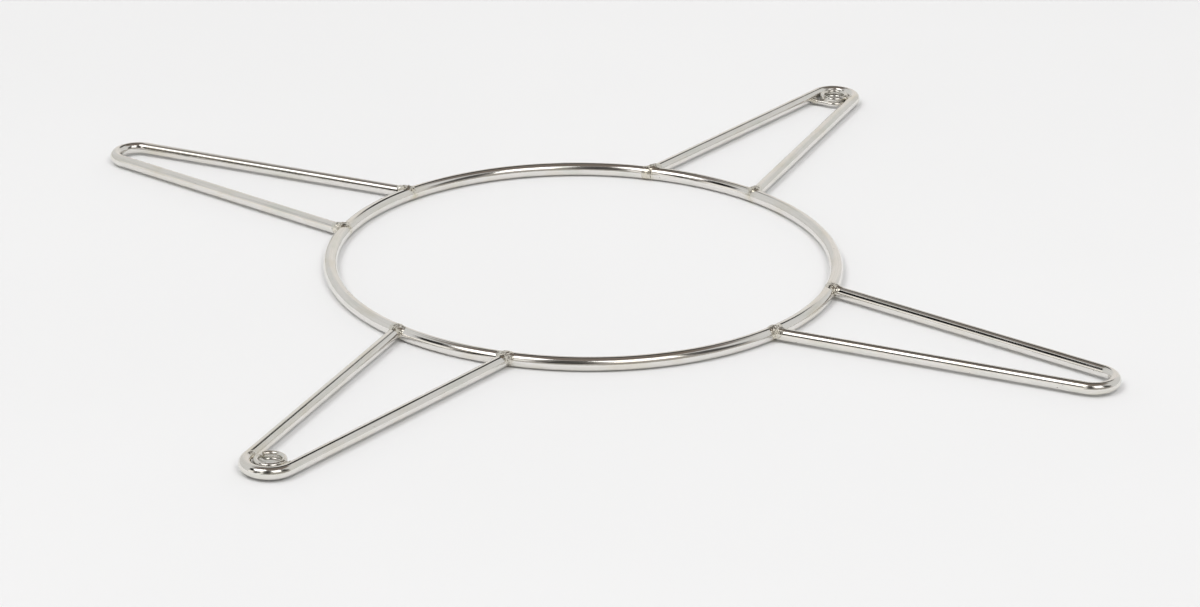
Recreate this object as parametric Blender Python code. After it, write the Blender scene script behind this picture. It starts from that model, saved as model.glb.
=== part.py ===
"""Welded ring frame with four looped arms, for Blender 4.5, in metres with +Z up.

One round bar is bent into a ring and butt-welded. Four more bars are bent into narrow
hairpins, and their feet are welded to the outside of the ring, a quarter turn apart. The
front and back arms each hold a small eyelet, a wire wound twice round like a split ring,
which lies flat inside the bend at the arm's tip. The frame is welded face down, so the
tops of all its bars are level, and it rests on the underside of the ring, whose bar is the
thicker one. The origin is on that underside, at the middle of the ring, and the arms run
along +X, +Y, -X and -Y.
"""

import math

import bmesh
import bpy
from mathutils import Vector

# Ring
RING_OUTER_DIAMETER = 0.300
RING_BAR = 0.008
RING_SIDES = 12
RING_STEPS = 120

# Arms
ARM_BAR = 0.007
ARM_REACH = 0.3345  # from the middle of the ring to the outside of an arm's tip
ARM_FOOT_SPREAD = 0.0713  # between an arm's two feet, measured on the ring's centre line
ARM_SIDES = 12
TIP_STEPS = 16

# Eyelets
EYELET_BORE = 0.012
EYELET_WIRE = 0.003
EYELET_TURN_GAP = 0.0003  # between the lower and the upper turn
EYELET_PLAY = 0.0005  # between an eyelet and the inside of its arm's bend
EYELET_STEP_UP = math.radians(48)  # the stretch in which the wire climbs one turn
EYELET_END_GAP = 0.0006  # between a wire end and the wire that climbs past it
EYELET_RESOLUTION = 3
EYELET_STEPS = 52

# Welds
WELD_THROAT = 0.0015  # how far a foot weld stands out from the side of an arm
WELD_CROWN = 0.0010  # how far a foot weld stands above an arm
WELD_LAP = 0.0014  # how far a foot weld reaches over the ring, past its centre line
WELD_REACH = 0.0030  # how far a foot weld runs along an arm, past the side of the ring
WELD_DEPTH = 0.0018  # how far a foot weld reaches down, below an arm's centre line
WELD_UNEVENNESS = 0.04  # height of the welds' lumps, as a share of their size
WELD_PHASE_STEP = 1.3  # shifts the lumps from one weld to the next
RING_ROOT_GAP = 0.0022  # between the two ends of the ring
RING_WELD_OFFSET = 0.0015  # from the nearest foot's centre to the ring's weld
EYELET_WELD_LENGTH = 0.0052
EYELET_WELD_WIDTH = 0.0042
EYELET_WELD_HEIGHT = 0.0034
EYELET_WELD_RISE = 0.0019  # from an arm's centre line up to the middle of the weld
TAIL_WELD_THROAT = 0.0010  # how far the tail's weld stands out from the tail

# Pieces that are welded together keep this gap between their faces
JOINT_GAP = 0.0003

# Modelling
SHARP_ANGLE = math.radians(40)
MERGE_DISTANCE = 1e-6
FOOT_WELD_SUBDIVISIONS = 3
EYELET_WELD_SUBDIVISIONS = 2

# Values that follow from the sizes above
RING_HEIGHT = RING_BAR / 2
ARM_HEIGHT = RING_BAR - ARM_BAR / 2
RING_RADIUS = (RING_OUTER_DIAMETER - RING_BAR) / 2
FOOT_ANGLE = math.asin(ARM_FOOT_SPREAD / 2 / RING_RADIUS)
EYELET_RADIUS = (EYELET_BORE + EYELET_WIRE) / 2
EYELET_OUTER_RADIUS = EYELET_BORE / 2 + EYELET_WIRE
TIP_RADIUS = EYELET_OUTER_RADIUS + EYELET_PLAY + ARM_BAR / 2
TIP_CENTRE = ARM_REACH - ARM_BAR / 2 - TIP_RADIUS
EYELET_PITCH = EYELET_WIRE + EYELET_TURN_GAP

# Each arm's direction, and the names of its feet: the one on its right when seen from
# the middle of the ring, then the one on its left
ARMS = {
    "right": (0.0, ("front", "back")),
    "back": (math.pi / 2, ("right", "left")),
    "left": (math.pi, ("back", "front")),
    "front": (-math.pi / 2, ("left", "right")),
}
# The foot that covers the joint between the ring's two ends
RING_WELD_FOOT = ("back", "left")


def clear_scene():
    for obj in list(bpy.data.objects):
        bpy.data.objects.remove(obj, do_unlink=True)


def make_material(name, colour, roughness):
    material = bpy.data.materials.new(name)
    material.use_nodes = True
    shader = material.node_tree.nodes["Principled BSDF"]
    shader.inputs["Base Color"].default_value = (*colour, 1.0)
    shader.inputs["Metallic"].default_value = 1.0
    shader.inputs["Roughness"].default_value = roughness
    return material


def add_object(name, data, material, parent):
    obj = bpy.data.objects.new(name, data)
    bpy.context.scene.collection.objects.link(obj)
    obj.parent = parent
    if material:
        data.materials.append(material)
    return obj


def add_cutter(name, mesh, parent):
    """Keep a cutting shape in the scene as a wire outline that is never rendered."""
    cutter = add_object(name, mesh, None, parent)
    cutter.display_type = "WIRE"
    cutter.hide_render = True
    return cutter


def cut(obj, cutter):
    modifier = obj.modifiers.new("cut_by_" + cutter.name, "BOOLEAN")
    modifier.operation = "DIFFERENCE"
    modifier.solver = "EXACT"
    modifier.object = cutter


def finish_mesh(bm, name):
    """Close the shape's faces outwards and shade its round sides smooth."""
    bmesh.ops.recalc_face_normals(bm, faces=bm.faces)
    mesh = bpy.data.meshes.new(name)
    bm.to_mesh(mesh)
    bm.free()
    mesh.shade_smooth()
    mesh.set_sharp_from_angle(angle=SHARP_ANGLE)
    return mesh


def bar_section(bm, centre, direction, radius, sides):
    """Draw a bar's outline across its direction, with one flat side facing down.

    The corners lie outside the round bar, so that the flats are at the bar's true radius.
    """
    across = direction.cross(Vector((0, 0, 1))).normalized()
    corner_radius = radius / math.cos(math.pi / sides)
    corners = []
    for index in range(sides):
        angle = 2 * math.pi * (index + 0.5) / sides
        offset = across * math.sin(angle) + Vector((0, 0, 1)) * math.cos(angle)
        corners.append(bm.verts.new(centre + offset * corner_radius))
    edges = [bm.edges.new((corners[i], corners[(i + 1) % sides])) for i in range(sides)]
    return corners, edges


def extrude_bar(bm, edges, distance):
    """Draw the open end of a bar out in a straight line and return its new end."""
    moved = bmesh.ops.extrude_edge_only(bm, edges=edges)["geom"]
    corners = [item for item in moved if isinstance(item, bmesh.types.BMVert)]
    bmesh.ops.translate(bm, verts=corners, vec=distance)
    return [item for item in moved if isinstance(item, bmesh.types.BMEdge)]


def bend_bar(bm, corners, edges, centre, angle, steps):
    """Bend the open end of a bar about an upright axis and return its new end."""
    bent = bmesh.ops.spin(
        bm,
        geom=corners + edges,
        cent=centre,
        axis=(0, 0, 1),
        angle=angle,
        steps=steps,
    )["geom_last"]
    return [item for item in bent if isinstance(item, bmesh.types.BMEdge)]


def ring_mesh(name, radius, start, sweep):
    """A bar of the given radius, bent round the ring's centre line."""
    bm = bmesh.new()
    outward = Vector((math.cos(start), math.sin(start), 0))
    along = Vector((-outward.y, outward.x, 0))
    centre = outward * RING_RADIUS + Vector((0, 0, RING_HEIGHT))
    corners, edges = bar_section(bm, centre, along, radius, RING_SIDES)
    bend_bar(bm, corners, edges, (0, 0, 0), sweep, RING_STEPS)
    if sweep < 2 * math.pi:
        bmesh.ops.holes_fill(bm, edges=bm.edges, sides=RING_SIDES)
    bmesh.ops.remove_doubles(bm, verts=bm.verts, dist=MERGE_DISTANCE)
    return finish_mesh(bm, name)


def leg_of_arm():
    """Foot and tangent point of the leg on the left of an arm that points along +X."""
    foot = Vector((RING_RADIUS * math.cos(FOOT_ANGLE), ARM_FOOT_SPREAD / 2, ARM_HEIGHT))
    centre = Vector((TIP_CENTRE, 0, ARM_HEIGHT))
    to_foot = foot - centre
    angle = math.atan2(to_foot.y, to_foot.x) - math.acos(TIP_RADIUS / to_foot.length)
    tangent = centre + TIP_RADIUS * Vector((math.cos(angle), math.sin(angle), 0))
    return foot, tangent, angle


def arm_mesh(name, radius):
    """A hairpin of round bar: a leg, the bend at the tip, and the other leg."""
    foot, tangent, angle = leg_of_arm()
    bm = bmesh.new()
    leg = tangent - foot
    _, edges = bar_section(bm, foot, leg.normalized(), radius, ARM_SIDES)
    edges = extrude_bar(bm, edges, leg)
    corners = list({corner for edge in edges for corner in edge.verts})
    edges = bend_bar(bm, corners, edges, (TIP_CENTRE, 0, 0), -2 * angle, TIP_STEPS)
    extrude_bar(bm, edges, Vector((-leg.x, leg.y, 0)))
    bmesh.ops.holes_fill(bm, edges=bm.edges, sides=ARM_SIDES)
    return finish_mesh(bm, name)


def blob_mesh(name, half_size, phase, subdivisions):
    """A lump of weld metal: a rounded shape with shallow, regular unevenness."""
    bm = bmesh.new()
    bmesh.ops.create_icosphere(bm, subdivisions=subdivisions, radius=1.0)
    for vert in bm.verts:
        x, y, z = vert.co
        swell = math.sin(4 * x + phase) * math.sin(3 * y + 2 * phase) * math.cos(3 * z)
        vert.co = vert.co * (1 + WELD_UNEVENNESS * swell)
    bmesh.ops.scale(bm, vec=half_size, verts=bm.verts)
    return finish_mesh(bm, name)


def drum_mesh(name, radius, length, sides):
    """A short round bar that lies along the X axis, one flat side facing down."""
    bm = bmesh.new()
    start = Vector((-length / 2, 0, 0))
    _, edges = bar_section(bm, start, Vector((1, 0, 0)), radius, sides)
    extrude_bar(bm, edges, Vector((length, 0, 0)))
    bmesh.ops.holes_fill(bm, edges=bm.edges, sides=sides)
    return finish_mesh(bm, name)


def build_ring(frame, steel, weld_metal):
    """The bent ring, and the weld that closes it under one of the arms' feet."""
    arm, side = RING_WELD_FOOT
    turn = FOOT_ANGLE if ARMS[arm][1][1] == side else -FOOT_ANGLE
    joint = ARMS[arm][0] + turn + RING_WELD_OFFSET / RING_RADIUS
    half_gap = RING_ROOT_GAP / 2 / RING_RADIUS
    sweep = 2 * math.pi - 2 * half_gap
    mesh = ring_mesh("main_ring", RING_BAR / 2, joint + half_gap, sweep)
    add_object("main_ring", mesh, steel, frame)

    length = RING_ROOT_GAP - 2 * JOINT_GAP
    mesh = drum_mesh("ring_butt_weld", RING_BAR / 2, length, RING_SIDES)
    weld = add_object("ring_butt_weld", mesh, weld_metal, frame)
    outward = Vector((math.cos(joint), math.sin(joint), 0))
    weld.location = outward * RING_RADIUS + Vector((0, 0, RING_HEIGHT))
    weld.rotation_euler = (0, 0, joint + math.pi / 2)


def build_feet_welds(arm, side_names, arm_root, cutters, weld_metal):
    """The two welds that hold an arm's feet to the ring."""
    foot, tangent, _ = leg_of_arm()
    along_start = -WELD_LAP
    along_end = RING_BAR / 2 + WELD_REACH
    half_size = Vector(
        (
            (along_end - along_start) / 2,
            ARM_BAR / 2 + WELD_THROAT,
            ARM_BAR / 2 + WELD_CROWN,
        )
    )
    for side, name in zip((-1, 1), side_names):
        direction = tangent - foot
        direction = Vector((direction.x, side * direction.y, 0)).normalized()
        centre = Vector((foot.x, side * foot.y, ARM_HEIGHT))
        node = "foot_weld_" + arm + "_" + name
        phase = WELD_PHASE_STEP * side + ARMS[arm][0]
        mesh = blob_mesh(node, half_size, phase, FOOT_WELD_SUBDIVISIONS)
        weld = add_object(node, mesh, weld_metal, arm_root)
        weld.location = centre + direction * (along_start + along_end) / 2
        weld.rotation_euler = (0, 0, math.atan2(direction.y, direction.x))
        for cutter in cutters:
            cut(weld, cutter)


def eyelet_path(start, tail):
    """Centre line of an eyelet, round the Z axis at the arms' height.

    The wire runs once round the lower turn, climbs to the upper turn, and runs once
    round again. Its lower end can leave the turn in a straight tail.
    """
    low = ARM_HEIGHT - EYELET_PITCH / 2
    end_gap = (EYELET_WIRE + EYELET_END_GAP) / EYELET_RADIUS
    flat = 2 * math.pi - EYELET_STEP_UP / 2 - end_gap / 2
    total = 2 * flat + EYELET_STEP_UP
    points = []
    if tail:
        tangent = Vector((math.sin(start), -math.cos(start), 0))
        begin = Vector((math.cos(start), math.sin(start), 0)) * EYELET_RADIUS
        points.append(begin + tangent * tail + Vector((0, 0, low)))
    for index in range(EYELET_STEPS + 1):
        angle = total * index / EYELET_STEPS
        climb = min(max((angle - flat) / EYELET_STEP_UP, 0), 1)
        height = low + EYELET_PITCH * climb * climb * (3 - 2 * climb)
        place = Vector((math.cos(start + angle), math.sin(start + angle), 0))
        points.append(place * EYELET_RADIUS + Vector((0, 0, height)))
    return points


def wire_curve(name, points):
    """A round wire along the given points, with closed ends."""
    curve = bpy.data.curves.new(name, "CURVE")
    curve.dimensions = "3D"
    curve.twist_mode = "Z_UP"
    curve.bevel_depth = EYELET_WIRE / 2
    curve.bevel_resolution = EYELET_RESOLUTION
    curve.use_fill_caps = True
    spline = curve.splines.new("POLY")
    spline.points.add(len(points) - 1)
    for point, place in zip(spline.points, points):
        point.co = (*place, 1.0)
    return curve


def build_eyelet(arm, arm_root, arm_cutter, wire_metal, weld_metal):
    """The eyelet in the bend of an arm, and the two welds that hold it."""
    foot, tangent, _ = leg_of_arm()
    slope = (foot.y - tangent.y) / (tangent.x - foot.x)
    hub = bpy.data.objects.new("eyelet_centre_" + arm, None)
    bpy.context.scene.collection.objects.link(hub)
    hub.parent = arm_root
    hub.location = (TIP_CENTRE, 0, 0)

    # The back eyelet's tail runs from the side that faces the ring across to a leg, and
    # the front eyelet is cut off beside a leg
    has_tail = arm == "back"
    to_leg = TIP_RADIUS - ARM_BAR / 2 + slope * EYELET_RADIUS
    tail = to_leg - JOINT_GAP - EYELET_PLAY if has_tail else 0.0
    start = math.pi if has_tail else -math.pi / 2
    path = eyelet_path(start, tail)
    add_object("eyelet_" + arm, wire_curve("eyelet_" + arm, path), wire_metal, hub)

    clearance = drum_mesh(
        "eyelet_clearance_" + arm,
        EYELET_OUTER_RADIUS + JOINT_GAP,
        4 * EYELET_WIRE,
        4 * ARM_SIDES,
    )
    eyelet_cutter = add_cutter("eyelet_clearance_" + arm, clearance, hub)
    eyelet_cutter.location = (0, 0, ARM_HEIGHT)
    eyelet_cutter.rotation_euler = (0, math.pi / 2, 0)

    half_size = Vector((EYELET_WELD_LENGTH, EYELET_WELD_WIDTH, EYELET_WELD_HEIGHT)) / 2
    sides = (-1,) if has_tail else (-1, 1)
    for side in sides:
        name = ARMS[arm][1][0 if side < 0 else 1]
        node = "eyelet_weld_" + arm + "_" + name
        phase = WELD_PHASE_STEP * side
        mesh = blob_mesh(node, half_size, phase, EYELET_WELD_SUBDIVISIONS)
        weld = add_object(node, mesh, weld_metal, hub)
        offset = EYELET_OUTER_RADIUS + EYELET_PLAY + JOINT_GAP
        weld.location = (0, side * offset, ARM_HEIGHT + EYELET_WELD_RISE)
        cut(weld, eyelet_cutter)
        cut(weld, arm_cutter)
    if has_tail:
        build_tail_weld(arm, hub, tail, arm_cutter, weld_metal)


def build_tail_weld(arm, hub, tail, arm_cutter, weld_metal):
    """The weld round the end of an eyelet's tail, against the arm's leg."""
    low = ARM_HEIGHT - EYELET_PITCH / 2
    end = Vector((-EYELET_RADIUS, tail, low))
    clearance = drum_mesh(
        "tail_clearance_" + arm,
        EYELET_WIRE / 2 + JOINT_GAP,
        2 * tail,
        ARM_SIDES,
    )
    tail_cutter = add_cutter("tail_clearance_" + arm, clearance, hub)
    tail_cutter.location = end + Vector((0, JOINT_GAP - tail, 0))
    tail_cutter.rotation_euler = (0, 0, math.pi / 2)

    node = "eyelet_weld_" + arm + "_" + ARMS[arm][1][1]
    reach = EYELET_WIRE / 2 + TAIL_WELD_THROAT
    half_size = Vector((reach, reach, reach))
    mesh = blob_mesh(node, half_size, 0.0, EYELET_WELD_SUBDIVISIONS)
    weld = add_object(node, mesh, weld_metal, hub)
    weld.location = end
    cut(weld, tail_cutter)
    cut(weld, arm_cutter)


def build_frame():
    clear_scene()
    steel = make_material("bright_plated_bar", (0.80, 0.79, 0.76), 0.12)
    arm_steel = make_material("bright_plated_arm_bar", (0.79, 0.78, 0.75), 0.13)
    wire_metal = make_material("bright_plated_wire", (0.77, 0.75, 0.72), 0.16)
    weld_metal = make_material("plated_weld_metal", (0.70, 0.68, 0.62), 0.30)

    frame = bpy.data.objects.new("frame_origin", None)
    bpy.context.scene.collection.objects.link(frame)
    build_ring(frame, steel, weld_metal)
    ring_cutter = add_cutter(
        "ring_clearance",
        ring_mesh("ring_clearance", RING_BAR / 2 + JOINT_GAP, 0.0, 2 * math.pi),
        frame,
    )
    table = bmesh.new()
    bmesh.ops.create_cube(table, size=4 * ARM_REACH)
    table_cutter = add_cutter("underside_clearance", finish_mesh(table, "underside"), frame)
    table_cutter.location = (0, 0, ARM_HEIGHT - WELD_DEPTH - 2 * ARM_REACH)

    for arm, (direction, side_names) in ARMS.items():
        root = bpy.data.objects.new("arm_root_" + arm, None)
        bpy.context.scene.collection.objects.link(root)
        root.parent = frame
        root.rotation_euler = (0, 0, direction)
        bar = add_object("arm_" + arm, arm_mesh("arm_" + arm, ARM_BAR / 2), arm_steel, root)
        cut(bar, ring_cutter)
        clearance = arm_mesh("arm_clearance_" + arm, ARM_BAR / 2 + JOINT_GAP)
        arm_cutter = add_cutter("arm_clearance_" + arm, clearance, root)
        cutters = (ring_cutter, arm_cutter, table_cutter)
        build_feet_welds(arm, side_names, root, cutters, weld_metal)
        if arm in ("front", "back"):
            build_eyelet(arm, root, arm_cutter, wire_metal, weld_metal)


build_frame()
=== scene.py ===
"""Finished look of a welded, plated ring frame with four looped arms.

The bars are swept along their centre lines, with the slight waviness of drawn bar under
plating. Each weld is grown round its joint, so that its metal runs out onto both bars.
Sizes are in metres, +Z is up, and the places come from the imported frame.
"""

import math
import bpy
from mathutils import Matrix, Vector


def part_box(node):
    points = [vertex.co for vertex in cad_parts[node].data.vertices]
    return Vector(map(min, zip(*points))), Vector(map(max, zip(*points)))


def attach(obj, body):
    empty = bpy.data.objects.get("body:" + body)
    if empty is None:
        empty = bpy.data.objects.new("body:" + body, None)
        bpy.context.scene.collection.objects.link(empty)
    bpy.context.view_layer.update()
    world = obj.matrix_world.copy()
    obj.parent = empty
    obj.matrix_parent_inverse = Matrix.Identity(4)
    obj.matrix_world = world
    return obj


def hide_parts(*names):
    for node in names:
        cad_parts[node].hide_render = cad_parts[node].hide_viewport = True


bl_info = {
    "name": "Plated Ring Frame",
    "version": (1, 0, 0),
    "blender": (4, 5, 0),
    "location": "View3D > Sidebar > Ring Frame",
    "description": "Builds the finished bars, eyelets and welds of a plated ring frame",
    "category": "Object",
}

import bmesh
import bpy
import numpy as np
from bpy.props import FloatProperty, FloatVectorProperty, PointerProperty
from mathutils import Quaternion, Vector, noise

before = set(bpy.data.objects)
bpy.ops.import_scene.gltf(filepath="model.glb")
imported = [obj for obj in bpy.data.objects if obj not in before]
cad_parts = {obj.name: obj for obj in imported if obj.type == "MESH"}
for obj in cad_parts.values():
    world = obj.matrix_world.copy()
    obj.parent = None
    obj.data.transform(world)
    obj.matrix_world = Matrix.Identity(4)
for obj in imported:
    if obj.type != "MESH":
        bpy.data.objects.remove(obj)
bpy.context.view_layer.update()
BODY = "root"

RING_LOW, RING_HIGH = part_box("main_ring")
ARM_LOW, ARM_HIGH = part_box("arm_right")

# Each arm's direction, and the names of its feet: the one on its right when seen from the
# middle of the ring, then the one on its left
ARMS = {
    "right": (0.0, ("front", "back")),
    "back": (math.pi / 2, ("right", "left")),
    "left": (math.pi, ("back", "front")),
    "front": (-math.pi / 2, ("left", "right")),
}
UP = Vector((0, 0, 1))

# The ring's ends: how far their joint is past the back arm's left foot, the gap between
# them, and how much and over what length the bent bar is flat beside it
RING_WELD_OFFSET = 0.0015
RING_ROOT_GAP = 0.0022
RING_END_DIP = 0.00035
RING_END_STRETCH = 0.007

# An eyelet: the gaps between its turns, between an end and the next turn, and at its tail,
# and the angle over which the wire climbs from one turn to the next
EYELET_TURN_GAP = 0.0003
EYELET_END_GAP = 0.0006
EYELET_PLAY = 0.0005
EYELET_CLIMB = math.radians(48)

# How many sides a round bar has, and how many steps its centre line has
RING_SIDES, RING_STEPS = 40, 480
ARM_SIDES, LEG_STEPS, BEND_STEPS = 36, 64, 44
WIRE_SIDES, WIRE_STEPS, TAIL_STEPS = 28, 150, 10

# Swells along a bar, the round edge of its ends as a share of its radius, and how fast the
# painted shade and heat tint beside a weld fall off
SWELLS_PER_METRE = 40
END_EDGE = 0.10
NOOK_FADE = 0.0045

# Weld metal: how deep its skin lies under the bars past its edge, how far out the skin is
# looked for as a share of the reach, in how many steps, and how lumpy and rippled it is as
# shares of its height
WELD_SINK = 0.00012
WELD_LIMIT = 1.25
WELD_STEPS = 48
WELD_LUMPS, WELD_RIPPLES = 0.75, 0.10

# Over what heights a weld and its fillet end at their depth, and how strong the painted
# shade is at a weld's thin edge and in its corner
WELD_DEPTH_FADE, FILLET_DEPTH_FADE = 0.0015, 0.002
THIN_EDGE = 0.00012
EDGE_SHADE, CORNER_SHADE = 0.75, 0.45

# Foot welds: how far their middle is out along the leg as a share of the ring's bar, how
# far below the middle of the joint they stop, and their fillet
FOOT_WELD_OFFSET = 0.36
FOOT_WELD_DEPTH = 0.0018
FOOT_WELD_FILLET = 0.0024

# The height, reach and depth or fillet of the smaller welds. Tacks have no depth to stop at
RING_BEAD_HEIGHT, RING_BEAD_REACH, RING_BEAD_DEPTH = 0.0006, 0.0048, 0.0022
TACK_HEIGHT, TACK_REACH, TACK_FILLET = 0.0005, 0.0030, 0.0022
NO_DEPTH = -1.0


# ---------------------------------------------------------------- settings


class FrameSizes(bpy.types.PropertyGroup):
    ring_bar: FloatProperty(
        name="Ring bar",
        description="Thickness of the bar that the ring is bent from",
        default=RING_HIGH.z - RING_LOW.z,
        unit="LENGTH",
    )
    ring_radius: FloatProperty(
        name="Ring radius",
        description="Radius of the ring's centre line",
        default=RING_HIGH.x - (RING_HIGH.z - RING_LOW.z) / 2,
        unit="LENGTH",
    )
    arm_bar: FloatProperty(
        name="Arm bar",
        description="Thickness of the bar that an arm is bent from",
        default=ARM_HIGH.z - ARM_LOW.z,
        unit="LENGTH",
    )
    arm_reach: FloatProperty(
        name="Arm reach",
        description="From the middle of the ring to the outside of an arm's tip",
        default=ARM_HIGH.x,
        unit="LENGTH",
    )
    foot_spread: FloatProperty(
        name="Foot spread",
        description="Between an arm's two feet, on the ring's centre line",
        default=0.0713,
        unit="LENGTH",
    )
    tip_radius: FloatProperty(
        name="Tip radius",
        description="Radius of the centre line of the bend at an arm's tip",
        default=0.013,
        unit="LENGTH",
    )
    eyelet_bore: FloatProperty(
        name="Eyelet bore",
        description="Width of the hole through an eyelet",
        default=0.012,
        unit="LENGTH",
    )
    eyelet_wire: FloatProperty(
        name="Eyelet wire",
        description="Thickness of the wire that an eyelet is wound from",
        default=0.003,
        unit="LENGTH",
    )
    waviness: FloatProperty(
        name="Waviness",
        description="Height of the low swells along a bar",
        default=0.000006,
        unit="LENGTH",
        precision=6,
    )
    wire_waviness: FloatProperty(
        name="Wire waviness",
        description="Height of the low swells along an eyelet's wire",
        default=0.00001,
        unit="LENGTH",
        precision=6,
    )
    weld_height: FloatProperty(
        name="Weld height",
        description="How far a foot weld stands out from the bars at its middle",
        default=0.00085,
        unit="LENGTH",
        precision=5,
    )
    weld_reach: FloatProperty(
        name="Weld reach",
        description="How far a foot weld runs out from its joint",
        default=0.0056,
        unit="LENGTH",
    )


class PlatingLook(bpy.types.PropertyGroup):
    ring_colour: FloatVectorProperty(
        name="Ring bar colour",
        description="Colour of the bright plating on the ring",
        subtype="COLOR",
        size=4,
        default=(0.855, 0.836, 0.806, 1.0),
    )
    arm_colour: FloatVectorProperty(
        name="Arm bar colour",
        description="Colour of the bright plating on the arms",
        subtype="COLOR",
        size=4,
        default=(0.845, 0.826, 0.794, 1.0),
    )
    wire_colour: FloatVectorProperty(
        name="Wire colour",
        description="Colour of the plating on the eyelets",
        subtype="COLOR",
        size=4,
        default=(0.820, 0.800, 0.765, 1.0),
    )
    weld_colour: FloatVectorProperty(
        name="Weld colour",
        description="Colour of the plating over the weld metal",
        subtype="COLOR",
        size=4,
        default=(0.780, 0.755, 0.700, 1.0),
    )
    warm_tint: FloatVectorProperty(
        name="Straw tint",
        description="Straw-coloured clouds where the plating is thin or was heated",
        subtype="COLOR",
        size=4,
        default=(0.760, 0.715, 0.600, 1.0),
    )
    cool_tint: FloatVectorProperty(
        name="Green tint",
        description="Faint grey-green clouds in the plating",
        subtype="COLOR",
        size=4,
        default=(0.735, 0.755, 0.690, 1.0),
    )
    # Colour of the pits and drawn lines, and of the painted shade in the corners and at the edges
    # of the welds and on the bars beside them
    mark_and_shade_colour: FloatVectorProperty(
        name="Mark and shade colour",
        description="Scale and polishing dirt left in the corners of the welds",
        subtype="COLOR",
        size=4,
        default=(0.130, 0.110, 0.085, 1.0),
    )
    polish: FloatProperty(
        name="Polish",
        description="Roughness of the bars where the plating is brightest",
        default=0.070,
        min=0.0,
        max=1.0,
        subtype="FACTOR",
    )


class StudioLook(bpy.types.PropertyGroup):
    view_azimuth: FloatProperty(
        name="View azimuth",
        description="The camera's direction round the frame, from -Y towards +X",
        default=math.radians(29.88),
        subtype="ANGLE",
    )
    view_elevation: FloatProperty(
        name="View elevation",
        description="The camera's height above the floor, as an angle",
        default=math.radians(23.23),
        subtype="ANGLE",
    )
    view_roll: FloatProperty(
        name="View roll",
        description="The camera's turn about the direction it looks in",
        default=math.radians(0.714),
        subtype="ANGLE",
    )
    view_distance: FloatProperty(
        name="View distance",
        description="From the camera to the point it looks at",
        default=2.210,
        unit="LENGTH",
    )
    view_point: FloatVectorProperty(
        name="View point",
        description="The point that the camera looks at",
        default=(0.0397, -0.0494, 0.004),
        subtype="TRANSLATION",
    )
    lens: FloatProperty(
        name="Lens",
        description="Focal length in millimetres on a 36 mm sensor",
        default=117.74,
    )
    floor_colour: FloatVectorProperty(
        name="Floor colour",
        description="Colour of the pale paper floor",
        subtype="COLOR",
        size=4,
        default=(0.885, 0.892, 0.905, 1.0),
    )
    softbox_power: FloatProperty(
        name="Softbox power",
        description="Power of each softbox for one square metre, in watts",
        default=11.0,
    )
    mirrored_share: FloatProperty(
        name="Mirrored share",
        description="How much of a softbox's brightness the bars mirror",
        default=0.42,
        min=0.0,
        max=1.0,
        subtype="FACTOR",
    )
    fill_power: FloatProperty(
        name="Fill power",
        description="Power of the overhead fill light for one square metre, in watts",
        default=1.8,
    )


# ---------------------------------------------------------------- centre lines


def turned(vector, angle):
    return Quaternion(UP, angle) @ vector


def arm_height(sizes):
    """The arms' tops are level with the top of the ring."""
    return RING_HIGH.z - sizes.arm_bar / 2


def bend_middle(sizes):
    """From the middle of the ring to the middle of the bend at an arm's tip."""
    return sizes.arm_reach - sizes.arm_bar / 2 - sizes.tip_radius


def leg_of_arm(sizes):
    """Foot, tangent point and tangent angle of the left leg of an arm along +X."""
    half = sizes.foot_spread / 2
    height = arm_height(sizes)
    foot = Vector((math.sqrt(sizes.ring_radius**2 - half**2), half, height))
    middle = Vector((bend_middle(sizes), 0, height))
    to_foot = foot - middle
    angle = math.atan2(to_foot.y, to_foot.x) - math.acos(sizes.tip_radius / to_foot.length)
    tangent = middle + sizes.tip_radius * Vector((math.cos(angle), math.sin(angle), 0))
    return foot, tangent, angle


def arm_line(sizes, direction):
    """Centre line of an arm: one leg, the bend at its tip, and the other leg."""
    foot, tangent, angle = leg_of_arm(sizes)
    line = [foot.lerp(tangent, i / LEG_STEPS) for i in range(LEG_STEPS)]
    for index in range(BEND_STEPS + 1):
        around = angle - 2 * angle * index / BEND_STEPS
        offset = Vector((math.cos(around), math.sin(around), 0)) * sizes.tip_radius
        line.append(Vector((bend_middle(sizes), 0, foot.z)) + offset)
    line += [Vector((p.x, -p.y, p.z)) for p in reversed(line[:LEG_STEPS])]
    return [turned(point, direction) for point in line]


def ring_joint_angle(sizes):
    """Where the ring's ends meet, just past the back arm's left foot."""
    foot_angle = math.asin(sizes.foot_spread / 2 / sizes.ring_radius)
    return math.pi / 2 + foot_angle + RING_WELD_OFFSET / sizes.ring_radius


def ring_line(sizes):
    """The ring's centre line, a little flat where the bent bar's ends meet."""
    start = ring_joint_angle(sizes)
    margin = RING_ROOT_GAP / 2 / sizes.ring_radius
    line = []
    for index in range(RING_STEPS + 1):
        angle = start + margin + (2 * math.pi - 2 * margin) * index / RING_STEPS
        from_joint = (angle - start) % (2 * math.pi)
        from_joint = min(from_joint, 2 * math.pi - from_joint) * sizes.ring_radius
        dip = RING_END_DIP * math.exp(-((from_joint / RING_END_STRETCH) ** 2))
        around = Vector((math.cos(angle), math.sin(angle), 0))
        line.append(around * (sizes.ring_radius - dip) + UP * RING_HIGH.z / 2)
    return line


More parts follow.
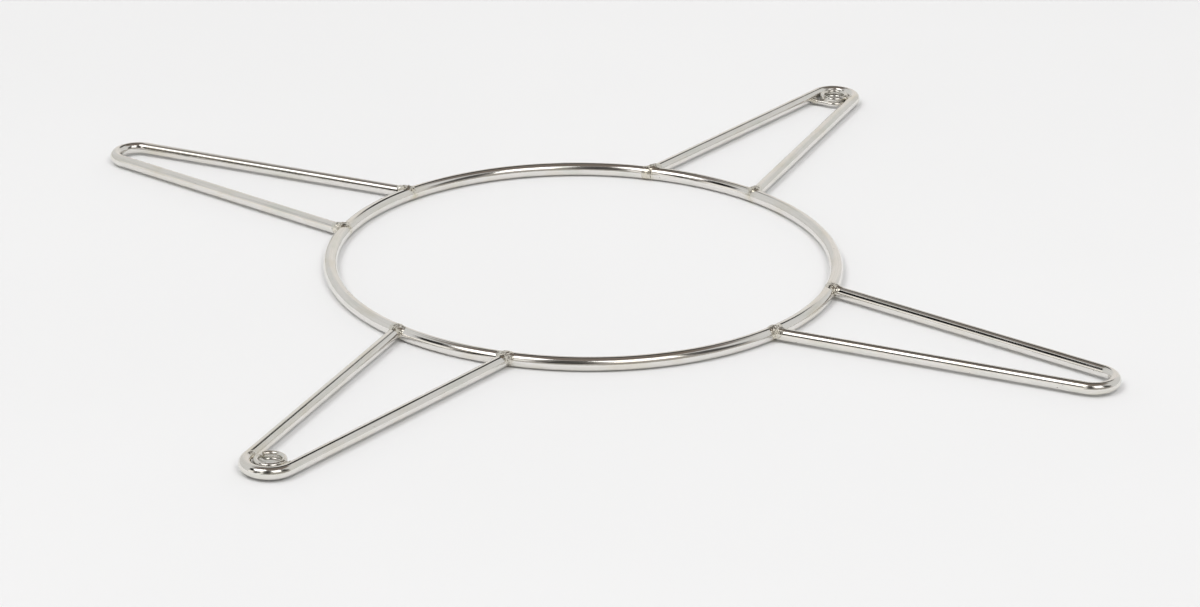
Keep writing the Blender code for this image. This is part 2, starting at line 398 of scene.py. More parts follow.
def eyelet_line(arm, sizes):
    """Centre line of an eyelet's two turns, and of the back eyelet's tail."""
    pitch = sizes.eyelet_wire + EYELET_TURN_GAP
    radius = (sizes.eyelet_bore + sizes.eyelet_wire) / 2
    end_gap = (sizes.eyelet_wire + EYELET_END_GAP) / radius
    flat = 2 * math.pi - EYELET_CLIMB / 2 - end_gap / 2
    total = 2 * flat + EYELET_CLIMB
    low = arm_height(sizes) - pitch / 2
    has_tail = arm == "back"
    start = math.pi if has_tail else -math.pi / 2
    line = []
    if has_tail:
        foot, tangent, _ = leg_of_arm(sizes)
        slope = (foot.y - tangent.y) / (tangent.x - foot.x)
        tail = sizes.tip_radius - sizes.arm_bar / 2 + slope * radius - EYELET_PLAY
        along = Vector((math.sin(start), -math.cos(start), 0))
        begin = Vector((math.cos(start), math.sin(start), 0)) * radius + UP * low
        line = [begin + along * tail * (1 - i / TAIL_STEPS) for i in range(TAIL_STEPS)]
    for index in range(WIRE_STEPS + 1):
        angle = total * index / WIRE_STEPS
        climb = min(max((angle - flat) / EYELET_CLIMB, 0), 1)
        height = low + pitch * climb * climb * (3 - 2 * climb)
        place = Vector((math.cos(start + angle), math.sin(start + angle), 0))
        line.append(place * radius + UP * height)
    middle = Vector((bend_middle(sizes), 0, 0))
    return [turned(point + middle, ARMS[arm][0]) for point in line]


# ---------------------------------------------------------------- bars


def add_piece(name, mesh, node, material):
    """Put a finished mesh in the scene in place of the CAD node that it stands for."""
    mesh.materials.append(material)
    obj = bpy.data.objects.new(name, mesh)
    bpy.context.scene.collection.objects.link(obj)
    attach(obj, BODY)
    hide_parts(node)
    return obj


def bar_mesh(name, line, radius, sides, waviness, seed, nooks):
    """Sweep a round bar along a line, with swells, a broken edge at each end, and closed ends.

    The attribute bar_place holds each point's place in the straightened bar: across it, up
    it and along it. The attribute nook is 1 beside a weld and falls off along the bar; it
    sets the painted shade and the heat tint there.
    """
    edge = radius * END_EDGE
    stations = []
    travelled = 0.0
    for index, centre in enumerate(line):
        before = line[max(index - 1, 0)]
        after = line[min(index + 1, len(line) - 1)]
        along = (after - before).normalized()
        if index:
            travelled += (centre - before).length
        stations.append((centre, along, travelled, 1.0))
    first, last = stations[0], stations[-1]
    stations[0] = (first[0] + first[1] * edge, first[1], first[2] + edge, 1.0)
    stations[-1] = (last[0] - last[1] * edge, last[1], last[2] - edge, 1.0)
    stations.insert(0, (first[0], first[1], first[2], 1 - edge / radius))
    stations.append((last[0], last[1], last[2], 1 - edge / radius))

    verts, places, nook_values = [], [], []
    for centre, along, travelled, taper in stations:
        across = along.cross(UP).normalized()
        upward = across.cross(along)
        from_nook = min((centre - nook).length for nook in nooks)
        nearness = math.exp(-from_nook / NOOK_FADE)
        for side in range(sides):
            angle = 2 * math.pi * side / sides
            sideways, height = math.sin(angle), math.cos(angle)
            probe = Vector((sideways * 0.8, height * 0.8 + seed, travelled * SWELLS_PER_METRE))
            swell = waviness * noise.noise(probe)
            reach = (radius - waviness + swell) * taper
            verts.append(centre + across * sideways * reach + upward * height * reach)
            places.append((sideways * radius, height * radius, travelled))
            nook_values.append(nearness)
    faces = []
    for ring in range(len(stations) - 1):
        for side in range(sides):
            beside = (side + 1) % sides
            low, high = ring * sides, (ring + 1) * sides
            faces.append((low + side, low + beside, high + beside, high + side))
    faces.append(tuple(range(sides - 1, -1, -1)))
    faces.append(tuple(range(len(verts) - sides, len(verts))))

    mesh = bpy.data.meshes.new(name)
    mesh.from_pydata(verts, [], faces)
    add_attribute(mesh, "bar_place", "FLOAT_VECTOR", places)
    add_attribute(mesh, "nook", "FLOAT", nook_values)
    shade_round(mesh)
    return mesh


def add_attribute(mesh, name, kind, values):
    attribute = mesh.attributes.new(name, kind, "POINT")
    field = "vector" if kind == "FLOAT_VECTOR" else "value"
    attribute.data.foreach_set(field, np.asarray(values, np.float32).ravel())


def shade_round(mesh):
    """Turn the faces outwards and shade the round sides smooth, the ends sharp."""
    bm = bmesh.new()
    bm.from_mesh(mesh)
    bmesh.ops.recalc_face_normals(bm, faces=bm.faces)
    bm.to_mesh(mesh)
    bm.free()
    mesh.shade_smooth()
    mesh.set_sharp_from_angle(angle=math.radians(50))


# ---------------------------------------------------------------- welds


def distance_to_line(points, line):
    """Distance from each point to a line made of short straight stretches."""
    starts = np.array([tuple(p) for p in line[:-1]])
    spans = np.array([tuple(p) for p in line[1:]]) - starts
    lengths = np.maximum((spans**2).sum(1), 1e-18)
    nearest = np.full(len(points), np.inf)
    for start, span, length in zip(starts, spans, lengths):
        offset = points - start
        share = np.clip(offset @ span / length, 0, 1)
        gap = np.linalg.norm(offset - share[:, None] * span, axis=1)
        nearest = np.minimum(nearest, gap)
    return nearest


def nearby_part(line, middle, reach):
    """The stretch of a line that lies within reach of a point, and a step to each side."""
    close = [i for i, point in enumerate(line) if (point - middle).length < reach]
    return line[max(close[0] - 1, 0) : close[-1] + 2]


def weld_lumps(direction, seed):
    """Uneven height of a weld in one direction: lumps, and the ripples of its bead."""
    spot = direction * 2.1 + Vector((seed, 0.3 * seed, -seed))
    lumps = noise.noise(spot) + 0.55 * noise.noise(spot * 2.3 + Vector((5, 1, 3)))
    swirl = 2.2 * noise.noise(direction * 1.3 + Vector((0, seed, 4)))
    arc = math.atan2(direction.y, direction.x + 1e-9)
    ripple = math.sin(7 * direction.z + 5 * arc + swirl + seed)
    return lumps, ripple


def weld_mesh(name, middle, bars, shape, seed, depth, subdivisions=6):
    """Grow weld metal round the joint of two bars, out from a point inside them.

    Each bar is (line, radius). The metal stands above the bars by the weld's height at the
    middle, runs out to nothing at its reach, and fills the corner between the bars with a
    fillet. Farther out, and below the given depth, its skin lies just inside the bars.
    """
    height, reach, fillet = shape
    bm = bmesh.new()
    bmesh.ops.create_icosphere(bm, subdivisions=subdivisions, radius=1.0)
    directions = np.array([tuple(v.co) for v in bm.verts])
    lumps = np.array([weld_lumps(v.co, seed) for v in bm.verts])
    limit = reach * WELD_LIMIT
    centre = np.array(tuple(middle))
    lines = [(nearby_part(line, middle, 1.9 * reach), radius) for line, radius in bars]

    radii = np.full(len(directions), limit)
    found = np.zeros(len(directions), bool)
    before = np.full(len(directions), -1.0)
    height_here = np.zeros(len(directions))
    corner_here = np.zeros(len(directions))
    for step in range(1, WELD_STEPS + 1):
        distance = limit * step / WELD_STEPS
        points = centre + directions * distance
        gaps = [distance_to_line(points, line) - radius for line, radius in lines]
        surface = gaps[0]
        corner = np.zeros(len(points))
        if len(gaps) > 1:
            blend = np.clip(0.5 + 0.5 * (gaps[1] - gaps[0]) / fillet, 0, 1)
            corner = blend * (1 - blend) * 4
            fade = np.clip(1.2 - distance / reach, 0, 1)
            fade = fade * np.clip(1 + (points[:, 2] - depth) / FILLET_DEPTH_FADE, 0, 1)
            nearest = gaps[1] * (1 - blend) + gaps[0] * blend
            surface = nearest - fillet * fade * blend * (1 - blend)
        swell = np.clip(1 - (distance / reach) ** 2, -0.6, 1)
        ripple = WELD_RIPPLES * lumps[:, 1] * np.clip(swell, 0, 1)
        swell = swell * (1 + WELD_LUMPS * lumps[:, 0]) + ripple
        below = np.clip((depth - points[:, 2]) / WELD_DEPTH_FADE, 0, 1)
        rise = height * swell * (1 - below) - WELD_SINK * below
        value = surface - rise
        crossing = ~found & (value > 0)
        share = np.where(crossing, before / np.minimum(before - value, -1e-12), 0)
        radii = np.where(crossing, distance - (1 - share) * limit / WELD_STEPS, radii)
        height_here = np.where(crossing, rise, height_here)
        corner_here = np.where(crossing, corner, corner_here)
        found |= crossing
        before = value
    for vert, radius in zip(bm.verts, radii):
        vert.co = middle + vert.co * radius
    bmesh.ops.recalc_face_normals(bm, faces=bm.faces)
    mesh = bpy.data.meshes.new(name)
    bm.to_mesh(mesh)
    bm.free()
    # Painted shade: the weld's colour is darkened at its thin edge and in its corner between the
    # bars
    edge = np.exp(-np.abs(height_here) / THIN_EDGE) * found
    darkening = np.clip(EDGE_SHADE * edge + CORNER_SHADE * corner_here, 0, 1)
    places = (directions * radii[:, None]).tolist()
    add_attribute(mesh, "bar_place", "FLOAT_VECTOR", places)
    add_attribute(mesh, "nook", "FLOAT", darkening)
    mesh.shade_smooth()
    return mesh


# ---------------------------------------------------------------- shader groups


def shader_group(name, inputs, outputs):
    """An empty shader node group with named sockets, and its two end nodes."""
    tree = bpy.data.node_groups.new(name, "ShaderNodeTree")
    for label, kind, default in inputs:
        socket = tree.interface.new_socket(label, in_out="INPUT", socket_type="NodeSocket" + kind)
        if default is not None:
            socket.default_value = default
    for label, kind in outputs:
        tree.interface.new_socket(label, in_out="OUTPUT", socket_type="NodeSocket" + kind)
    return tree, tree.nodes.new("NodeGroupInput"), tree.nodes.new("NodeGroupOutput")


def set_inputs(tree, node, inputs):
    """Link or set a node's inputs, given by name or number."""
    for label, value in inputs.items():
        if isinstance(value, bpy.types.NodeSocket):
            tree.links.new(value, node.inputs[label])
        else:
            node.inputs[label].default_value = value


def add_node(tree, kind, inputs, **options):
    node = tree.nodes.new("ShaderNode" + kind)
    for option, value in options.items():
        setattr(node, option, value)
    set_inputs(tree, node, inputs)
    return node


def group_node(tree, group, inputs):
    node = tree.nodes.new("ShaderNodeGroup")
    node.node_tree = bpy.data.node_groups[group]
    set_inputs(tree, node, inputs)
    return node.outputs


def noise_at(tree, place, scale, detail=3.0, roughness=0.5):
    inputs = {"Vector": place, "Scale": scale, "Detail": detail, "Roughness": roughness}
    return add_node(tree, "TexNoise", inputs).outputs["Fac"]


def ranged(tree, value, low, high, to_low=0.0, to_high=1.0):
    """Ease a value from one range to another, and hold it there."""
    inputs = {0: value, 1: low, 2: high, 3: to_low, 4: to_high}
    return add_node(tree, "MapRange", inputs, interpolation_type="SMOOTHSTEP").outputs["Result"]


def calculate(tree, operation, first, second=0.0):
    return add_node(tree, "Math", {0: first, 1: second}, operation=operation).outputs[0]


def mixed(tree, factor, first, second):
    node = add_node(tree, "Mix", {0: factor, 6: first, 7: second}, data_type="RGBA")
    return node.outputs[2]


def on_vectors(tree, operation, first, second):
    return add_node(tree, "VectorMath", {0: first, 1: second}, operation=operation).outputs[0]


def clouded_plating():
    """Plating colour with slow straw and green clouds, longer along the bar than round it."""
    tree, start, end = shader_group(
        "clouded_plating",
        [
            ("Place", "Vector", None),
            ("Plating", "Color", (0.8, 0.8, 0.8, 1)),
            ("Straw", "Color", (0.8, 0.7, 0.6, 1)),
            ("Green", "Color", (0.7, 0.8, 0.7, 1)),
            ("Amount", "Float", 0.5),
        ],
        [("Colour", "Color")],
    )
    place = on_vectors(tree, "MULTIPLY", start.outputs["Place"], (1.0, 1.0, 0.35))
    straw = ranged(tree, noise_at(tree, place, 110.0), 0.45, 0.75)
    shifted = on_vectors(tree, "ADD", place, (3.1, 1.7, 0.4))
    green = ranged(tree, noise_at(tree, shifted, 160.0), 0.48, 0.78)
    straw = calculate(tree, "MULTIPLY", straw, start.outputs["Amount"])
    green = calculate(tree, "MULTIPLY", green, start.outputs["Amount"])
    colour = mixed(tree, straw, start.outputs["Plating"], start.outputs["Straw"])
    colour = mixed(tree, green, colour, start.outputs["Green"])
    tree.links.new(colour, end.inputs["Colour"])
    return tree


def drawn_lines():
    """Long fine lines from drawing and polishing the bar, with short grainy breaks."""
    tree, start, end = shader_group(
        "drawn_lines",
        [
            ("Place", "Vector", None),
            ("Line Scale", "Float", 1500.0),
            ("Grain Scale", "Float", 2600.0),
        ],
        [("Height", "Float"), ("Streaks", "Float")],
    )
    place = start.outputs["Place"]
    along = on_vectors(tree, "MULTIPLY", place, (1.0, 1.0, 0.03))
    lines = noise_at(tree, along, start.outputs["Line Scale"], 2.0)
    breaks = on_vectors(tree, "MULTIPLY", place, (1.0, 1.0, 0.35))
    grain = noise_at(tree, breaks, start.outputs["Grain Scale"], 1.0)
    height = calculate(tree, "ADD", lines, calculate(tree, "MULTIPLY", grain, 0.55))
    tree.links.new(height, end.inputs["Height"])
    tree.links.new(ranged(tree, lines, 0.35, 0.7), end.inputs["Streaks"])
    return tree


def nook_shade_and_heat():
    """A mask of painted shade beside a weld and in its corners, broken up so that it has no
    clean edge, and a mask of heat tint beside it.
    """
    tree, start, end = shader_group(
        "nook_shade_and_heat",
        [("Nook", "Float", 0.0), ("Place", "Vector", None), ("Spread", "Float", 0.5)],
        [("Mask", "Float"), ("Heat", "Float")],
    )
    broken = noise_at(tree, start.outputs["Place"], 1000.0, 3.0, 0.55)
    broken = ranged(tree, broken, 0.38, 0.72)
    strength = calculate(tree, "MULTIPLY", start.outputs["Nook"], broken)
    strength = calculate(tree, "MULTIPLY", strength, start.outputs["Spread"])
    tree.links.new(ranged(tree, strength, 0.05, 0.6), end.inputs["Mask"])
    slow = noise_at(tree, start.outputs["Place"], 300.0)
    heat = calculate(tree, "MULTIPLY", start.outputs["Nook"], slow)
    tree.links.new(ranged(tree, heat, 0.1, 0.6), end.inputs["Heat"])
    return tree


def plating_pits():
    """A mask of scattered pinholes and dull specks, with their depth."""
    tree, start, end = shader_group(
        "plating_pits",
        [("Place", "Vector", None), ("Scale", "Float", 260.0)],
        [("Mask", "Float")],
    )
    inputs = {"Vector": start.outputs["Place"], "Scale": start.outputs["Scale"]}
    cells = add_node(tree, "TexVoronoi", inputs)
    speck = ranged(tree, cells.outputs["Distance"], 0.05, 0.10, 1.0, 0.0)
    chosen = noise_at(tree, start.outputs["Place"], 95.0)
    chosen = ranged(tree, chosen, 0.56, 0.66)
    tree.links.new(calculate(tree, "MULTIPLY", speck, chosen), end.inputs["Mask"])
    return tree


# ---------------------------------------------------------------- materials


def new_material(name):
    material = bpy.data.materials.new(name)
    material.use_nodes = True
    tree = material.node_tree
    shader = tree.nodes["Principled BSDF"]
    return material, tree, shader


def attribute_of(tree, name, output):
    node = tree.nodes.new("ShaderNodeAttribute")
    node.attribute_name = name
    return node.outputs[output]


def plated_material(name, colour, look, finish):
    """Bright plating over steel. The finish gives the amounts that differ between pieces."""
    material, tree, shader = new_material(name)
    place = attribute_of(tree, "bar_place", "Vector")
    nook = attribute_of(tree, "nook", "Fac")
    clouds = group_node(
        tree,
        "clouded_plating",
        {
            "Place": place,
            "Plating": colour,
            "Straw": look.warm_tint,
            "Green": look.cool_tint,
            "Amount": finish["clouds"],
        },
    )
    lines = group_node(tree, "drawn_lines", {"Place": place, "Line Scale": finish["lines"]})
    shade_inputs = {"Nook": nook, "Place": place, "Spread": finish["near_weld"]}
    # This group gives a painted shade mask and a heat tint mask beside the welds
    near_weld = group_node(tree, "nook_shade_and_heat", shade_inputs)
    pits = group_node(tree, "plating_pits", {"Place": place, "Scale": finish["pits"]})

    heated = mixed(tree, near_weld["Heat"], clouds["Colour"], look.warm_tint)
    faint_streaks = calculate(tree, "MULTIPLY", lines["Streaks"], 0.05)
    streaked = mixed(tree, faint_streaks, heated, look.mark_and_shade_colour)
    # Painted shade round the welds together with the real pits, both in the dark mark colour
    darkening = calculate(tree, "MAXIMUM", near_weld["Mask"], pits["Mask"])
    tree.links.new(mixed(tree, darkening, streaked, look.mark_and_shade_colour), shader.inputs["Base Color"])

    dull = calculate(tree, "MULTIPLY", lines["Streaks"], finish["dulling"])
    rough = calculate(tree, "ADD", calculate(tree, "MULTIPLY", darkening, 0.35), dull)
    rough = calculate(tree, "ADD", rough, finish["polish"])
    tree.links.new(rough, shader.inputs["Roughness"])

    relief = calculate(tree, "MULTIPLY", pits["Mask"], -2.0)
    relief = calculate(tree, "ADD", lines["Height"], relief)
    inputs = {"Height": relief, "Strength": finish["bump"], "Distance": finish["relief"]}
    bump = add_node(tree, "Bump", inputs)
    tree.links.new(bump.outputs["Normal"], shader.inputs["Normal"])
    shader.inputs["Metallic"].default_value = 1.0
    return material


def bar_finish(look):
    return {
        "clouds": 0.55,
        "lines": 1500.0,
        "near_weld": 0.4,
        "pits": 260.0,
        "dulling": 0.07,
        "polish": look.polish,
        "bump": 0.35,
        "relief": 0.00004,
    }


def wire_finish(look):
    return {**bar_finish(look), "lines": 2400.0, "polish": look.polish + 0.09}


def weld_finish(look):
    return {
        "clouds": 0.8,
        "lines": 650.0,
        "near_weld": 0.75,
        "pits": 420.0,
        "dulling": 0.12,
        "polish": look.polish + 0.06,
        "bump": 0.3,
        "relief": 0.00007,
    }


def material_named(name):
    """Build a plating material the first time that a piece asks for it."""
    if name in bpy.data.materials:
        return bpy.data.materials[name]
    if "clouded_plating" not in bpy.data.node_groups:
        clouded_plating()
        drawn_lines()
        nook_shade_and_heat()
        plating_pits()
    look = bpy.context.scene.plating_look
    colours = {
        "bright_ring_plating": (look.ring_colour, bar_finish(look)),
        "bright_arm_plating": (look.arm_colour, bar_finish(look)),
        "bright_wire_plating": (look.wire_colour, wire_finish(look)),
        "plated_weld_metal": (look.weld_colour, weld_finish(look)),
    }
    colour, finish = colours[name]
    return plated_material(name, colour, look, finish)


# ---------------------------------------------------------------- operators


def foot_places(sizes):
    """Every foot's node name and its place on the ring's centre line, arm by arm."""
    foot, _, _ = leg_of_arm(sizes)
    for arm, (direction, names) in ARMS.items():
        for side, name in zip((-1, 1), names):
            place = turned(Vector((foot.x, side * foot.y, foot.z)), direction)
            yield arm, side, "foot_weld_" + arm + "_" + name, place


class RINGFRAME_OT_ring(bpy.types.Operator):
    """Sweep the ring's bar round from one of its ends to the other"""

    bl_idname = "ringframe.ring"
    bl_label = "Ring"

    def execute(self, context):
        sizes = context.scene.frame_sizes
        nooks = [place for _, _, _, place in foot_places(sizes)]
        line = ring_line(sizes)
        radius = sizes.ring_bar / 2
        mesh = bar_mesh("ring_bar", line, radius, RING_SIDES, sizes.waviness, 0.0, nooks)
        material = material_named("bright_ring_plating")
        add_piece("ring_bar", mesh, "main_ring", material)
        return {"FINISHED"}


class RINGFRAME_OT_ring_weld(bpy.types.Operator):
    """Lay the narrow bead that closes the ring"""

    bl_idname = "ringframe.ring_weld"
    bl_label = "Ring weld"

    def execute(self, context):
        sizes = context.scene.frame_sizes
        angle = ring_joint_angle(sizes)
        radius = sizes.ring_radius - RING_END_DIP
        middle = Vector((math.cos(angle) * radius, math.sin(angle) * radius, RING_HIGH.z / 2))
        along = Vector((-math.sin(angle), math.cos(angle), 0))
        line = [middle + along * 0.002 * step for step in range(-8, 9)]
        bars = [(line, sizes.ring_bar / 2)]
        shape = (RING_BEAD_HEIGHT, RING_BEAD_REACH, 0.0)
        depth = middle.z - RING_BEAD_DEPTH
        mesh = weld_mesh("ring_bead", middle, bars, shape, 7.7, depth)
        material = material_named("plated_weld_metal")
        add_piece("ring_bead", mesh, "ring_butt_weld", material)
        return {"FINISHED"}


class RINGFRAME_OT_arms(bpy.types.Operator):
    """Bend the four arms"""

    bl_idname = "ringframe.arms"
    bl_label = "Arms"

    def execute(self, context):
        sizes = context.scene.frame_sizes
        material = material_named("bright_arm_plating")
        nooks = [place for _, _, _, place in foot_places(sizes)]
        for number, (arm, (direction, _)) in enumerate(ARMS.items(), start=1):
            name = "arm_bar_" + arm
            line = arm_line(sizes, direction)
            radius = sizes.arm_bar / 2
            seed = 9.0 * number
            mesh = bar_mesh(name, line, radius, ARM_SIDES, sizes.waviness, seed, nooks)
            add_piece(name, mesh, "arm_" + arm, material)
        return {"FINISHED"}


class RINGFRAME_OT_foot_welds(bpy.types.Operator):
    """Weld the arms' eight feet to the ring"""

    bl_idname = "ringframe.foot_welds"
    bl_label = "Foot welds"

    def execute(self, context):
        sizes = context.scene.frame_sizes
        material = material_named("plated_weld_metal")
        ring = ring_line(sizes)
        for number, (arm, side, node, place) in enumerate(foot_places(sizes)):
            arm_path = arm_line(sizes, ARMS[arm][0])
            half = len(arm_path) // 2
            leg = arm_path[:half] if side > 0 else arm_path[half:]
            inward = min(leg, key=lambda point: (point - place).length)
            outward = max(leg, key=lambda point: (point - place).length)
            along = (outward - inward).normalized()
            middle = place + along * sizes.ring_bar * FOOT_WELD_OFFSET
            middle.z = (RING_HIGH.z + place.z) / 2
            bars = [(leg, sizes.arm_bar / 2), (ring, sizes.ring_bar / 2)]
            shape = (sizes.weld_height, sizes.weld_reach, FOOT_WELD_FILLET)
            depth = place.z - FOOT_WELD_DEPTH
            mesh = weld_mesh(node, middle, bars, shape, 2.3 * number + 1.0, depth)
            name = node.replace("foot_weld", "foot_bead")
            add_piece(name, mesh, node, material)
        return {"FINISHED"}


class RINGFRAME_OT_eyelets(bpy.types.Operator):
    """Wind the two eyelets"""

    bl_idname = "ringframe.eyelets"
    bl_label = "Eyelets"

    def execute(self, context):
        sizes = context.scene.frame_sizes
        material = material_named("bright_wire_plating")
        for arm in ("front", "back"):
            nooks = [sum(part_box(node), Vector()) / 2 for node in eyelet_weld_nodes(arm)]
            line = eyelet_line(arm, sizes)
            name = "eyelet_wire_" + arm
            radius = sizes.eyelet_wire / 2
            mesh = bar_mesh(name, line, radius, WIRE_SIDES, sizes.wire_waviness, 4.0, nooks)
            add_piece(name, mesh, "eyelet_" + arm, material)
        return {"FINISHED"}


def eyelet_weld_nodes(arm):
    return ["eyelet_weld_" + arm + "_" + side for side in ARMS[arm][1]]


class RINGFRAME_OT_eyelet_welds(bpy.types.Operator):
    """Tack each eyelet to its arm's legs"""

    bl_idname = "ringframe.eyelet_welds"
    bl_label = "Eyelet welds"

    def execute(self, context):
        sizes = context.scene.frame_sizes
        material = material_named("plated_weld_metal")
        for arm in ("front", "back"):
            arm_path = arm_line(sizes, ARMS[arm][0])
            wire = eyelet_line(arm, sizes)
            for number, node in enumerate(eyelet_weld_nodes(arm)):
                low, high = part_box(node)
                middle = (low + high) / 2
                bars = [(arm_path, sizes.arm_bar / 2), (wire, sizes.eyelet_wire / 2)]
                shape = (TACK_HEIGHT, TACK_REACH, TACK_FILLET)
                mesh = weld_mesh(node, middle, bars, shape, 3.1 + number, NO_DEPTH, 5)
                name = node.replace("eyelet_weld", "eyelet_tack")
                add_piece(name, mesh, node, material)
        return {"FINISHED"}


class RINGFRAME_OT_studio(bpy.types.Operator):
    """Set up the pale floor, the soft studio light and the camera"""

    bl_idname = "ringframe.studio"
    bl_label = "Studio"

    def execute(self, context):
        look = context.scene.studio_look
        add_floor(look)
        add_softboxes(look)
        add_room(look)
        add_camera(look)
        context.scene.view_settings.view_transform = "Standard"
        return {"FINISHED"}


# ---------------------------------------------------------------- studio


def studio_direction(look, azimuth, elevation):
    """A direction seen from the frame, in degrees from the camera's side towards its right."""
    angle = look.view_azimuth + math.radians(azimuth)
    level = math.cos(math.radians(elevation))
    height = math.sin(math.radians(elevation))
    return Vector((math.sin(angle) * level, -math.cos(angle) * level, height))


def add_floor(look):
    bm = bmesh.new()
    bmesh.ops.create_grid(bm, x_segments=8, y_segments=8, size=7.0)
    mesh = bpy.data.meshes.new("paper_floor")
    bm.to_mesh(mesh)
    bm.free()
    material, tree, shader = new_material("pale_paper")
    place = tree.nodes.new("ShaderNodeTexCoord").outputs["Object"]
    mottle = ranged(tree, noise_at(tree, place, 2.2), 0.3, 0.7)
    darker = tuple(0.985 * value for value in look.floor_colour[:3]) + (1.0,)
    tree.links.new(mixed(tree, mottle, look.floor_colour, darker), shader.inputs["Base Color"])
    shader.inputs["Roughness"].default_value = 0.9
    shader.inputs["Specular IOR Level"].default_value = 0.1
    mesh.materials.append(material)
    floor = bpy.data.objects.new("paper_floor", mesh)
    bpy.context.scene.collection.objects.link(floor)


# Each softbox's azimuth, elevation, width, height and lean, in degrees and metres
SOFTBOXES = {
    "softbox_left": (-54, 59, 6.2, 7.9, 8),
    "softbox_right": (32, 50, 5.6, 6.8, 0),
}
SOFTBOX_DISTANCE = 12.0

# A wide overhead light that fills the shadows. The bars don't mirror it
FILL_HEIGHT = 8.0
FILL_SIZE = 10.0


def add_area_light(name, size, power, mirrored):
    """An area light of a size, with a power for each square metre."""
    light = bpy.data.lights.new(name, "AREA")
    light.shape = "ELLIPSE" if name.startswith("softbox_left") else "RECTANGLE"
    light.size, light.size_y = size
    light.energy = power * size[0] * size[1]
    obj = bpy.data.objects.new(name, light)
    obj.visible_glossy = mirrored
    bpy.context.scene.collection.objects.link(obj)
    return obj


def add_softboxes(look):
    """The softboxes, whose soft cloth the bars mirror dimmer than it lights the floor."""
    for name, (azimuth, elevation, width, height, lean) in SOFTBOXES.items():
        towards = studio_direction(look, azimuth, elevation)
        turn = towards.to_track_quat("Z", "Y") @ Quaternion(UP, math.radians(lean))
        mirrored = look.mirrored_share * look.softbox_power
        for suffix, power in (("_cloth", mirrored), ("_lamp", look.softbox_power - mirrored)):
            obj = add_area_light(name + suffix, (width, height), power, suffix == "_cloth")
            obj.location = towards * SOFTBOX_DISTANCE
            obj.rotation_euler = turn.to_euler()
    fill = add_area_light("overhead_fill", (FILL_SIZE, FILL_SIZE), look.fill_power, False)
    fill.location = (0, 0, FILL_HEIGHT)


# Round patches of the room round the frame: azimuth and elevation of the middle, the angle
# inside which a patch is full, the angle past which it is gone, and its brightness
BACK = (180, 0, 96, 107)
CEILING = (172, 80, 24, 34)
FRONT_COLOUR = (0.40, 0.38, 0.35, 1)
BACK_COLOUR = (0.69, 0.69, 0.68, 1)
CEILING_COLOUR = (0.19, 0.162, 0.142, 1)
DARK_GAPS = (
    (-7, 30, 9, 17, 0.055),
    (-6, 54, 6, 14, 0.05),
    (65, 30, 8, 17, 0.085),
    (63, 48, 5, 12, 0.08),
    (-42, 29, 6, 10, 0.012),
    (-50, 16, 6, 9, 0.012),
    (-73, 35, 5, 9, 0.005),
    (-79, 42, 5, 9, 0.005),
    (-86, 49, 5, 9, 0.008),
    (177, 45, 10, 15, 0.045),
    (162, 42, 7, 11, 0.035),
)
WHITE_CARDS = (
    (-41, 5, 9, 13, 0.95),
    (-29, 19, 5, 9, 0.90),
    (-25, 32, 5, 9, 0.93),
    (-67, 11, 11, 15, 0.97),
    (172, 12, 14, 30, 0.80),
)


def add_room(look):
    """The room that the bars reflect: a bright sweep at the back, a darker front and ceiling."""
    world = bpy.data.worlds.new("soft_studio")
    bpy.context.scene.world = world
    world.use_nodes = True
    tree = world.node_tree
    direction = tree.nodes.new("ShaderNodeTexCoord").outputs["Generated"]

    def patch(azimuth, elevation, inner, outer):
        """A round patch of the room, full inside the inner angle, gone past the outer."""
        centre = studio_direction(look, azimuth, elevation)
        inputs = {0: direction, 1: centre}
        dot = add_node(tree, "VectorMath", inputs, operation="DOT_PRODUCT")
        low, high = math.cos(math.radians(outer)), math.cos(math.radians(inner))
        return ranged(tree, dot.outputs["Value"], low, high)

    colour = mixed(tree, patch(*BACK), FRONT_COLOUR, BACK_COLOUR)
    colour = mixed(tree, patch(*CEILING), colour, CEILING_COLOUR)
    for azimuth, elevation, inner, outer, brightness in WHITE_CARDS + DARK_GAPS:
        shade = (brightness, brightness * 0.97, brightness * 0.93, 1)
        colour = mixed(tree, patch(azimuth, elevation, inner, outer), colour, shade)
    tree.links.new(colour, tree.nodes["Background"].inputs["Color"])


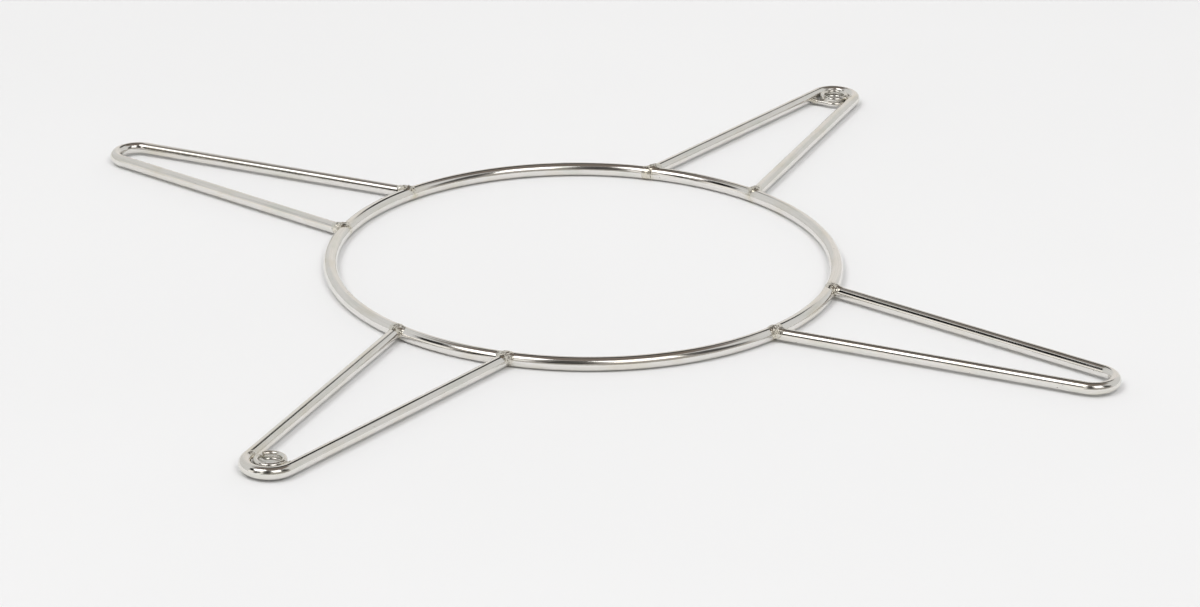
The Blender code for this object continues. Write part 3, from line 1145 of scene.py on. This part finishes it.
def add_camera(look):
    data = bpy.data.cameras.new("view_camera")
    data.sensor_width = 36.0
    data.lens = look.lens
    data.clip_end = 50.0
    camera = bpy.data.objects.new("view_camera", data)
    bpy.context.scene.collection.objects.link(camera)
    aim = Vector(look.view_point)
    level = math.cos(look.view_elevation)
    away = Vector(
        (
            math.sin(look.view_azimuth) * level,
            -math.cos(look.view_azimuth) * level,
            math.sin(look.view_elevation),
        )
    )
    camera.location = aim + away * look.view_distance
    turn = (-away).to_track_quat("-Z", "Y") @ Quaternion(UP, look.view_roll)
    camera.rotation_euler = turn.to_euler()
    bpy.context.scene.camera = camera


# ---------------------------------------------------------------- panel and run

OPERATORS = (
    RINGFRAME_OT_ring,
    RINGFRAME_OT_ring_weld,
    RINGFRAME_OT_arms,
    RINGFRAME_OT_foot_welds,
    RINGFRAME_OT_eyelets,
    RINGFRAME_OT_eyelet_welds,
    RINGFRAME_OT_studio,
)


class RINGFRAME_PT_panel(bpy.types.Panel):
    """Lists the frame's pieces in the order that they are built"""

    bl_idname = "RINGFRAME_PT_panel"
    bl_label = "Ring Frame"
    bl_space_type = "VIEW_3D"
    bl_region_type = "UI"
    bl_category = "Ring Frame"

    def draw(self, context):
        column = self.layout.column()
        for operator in OPERATORS:
            column.operator(operator.bl_idname)


CLASSES = (FrameSizes, PlatingLook, StudioLook) + OPERATORS + (RINGFRAME_PT_panel,)


def register():
    for cls in CLASSES:
        bpy.utils.register_class(cls)
    bpy.types.Scene.frame_sizes = PointerProperty(type=FrameSizes)
    bpy.types.Scene.plating_look = PointerProperty(type=PlatingLook)
    bpy.types.Scene.studio_look = PointerProperty(type=StudioLook)


def unregister():
    del bpy.types.Scene.studio_look
    del bpy.types.Scene.plating_look
    del bpy.types.Scene.frame_sizes
    for cls in reversed(CLASSES):
        bpy.utils.unregister_class(cls)


def main():
    register()
    for step in ("studio", "ring", "ring_weld", "arms", "foot_welds", "eyelets", "eyelet_welds"):
        getattr(bpy.ops.ringframe, step)()


if __name__ == "__main__":
    main()
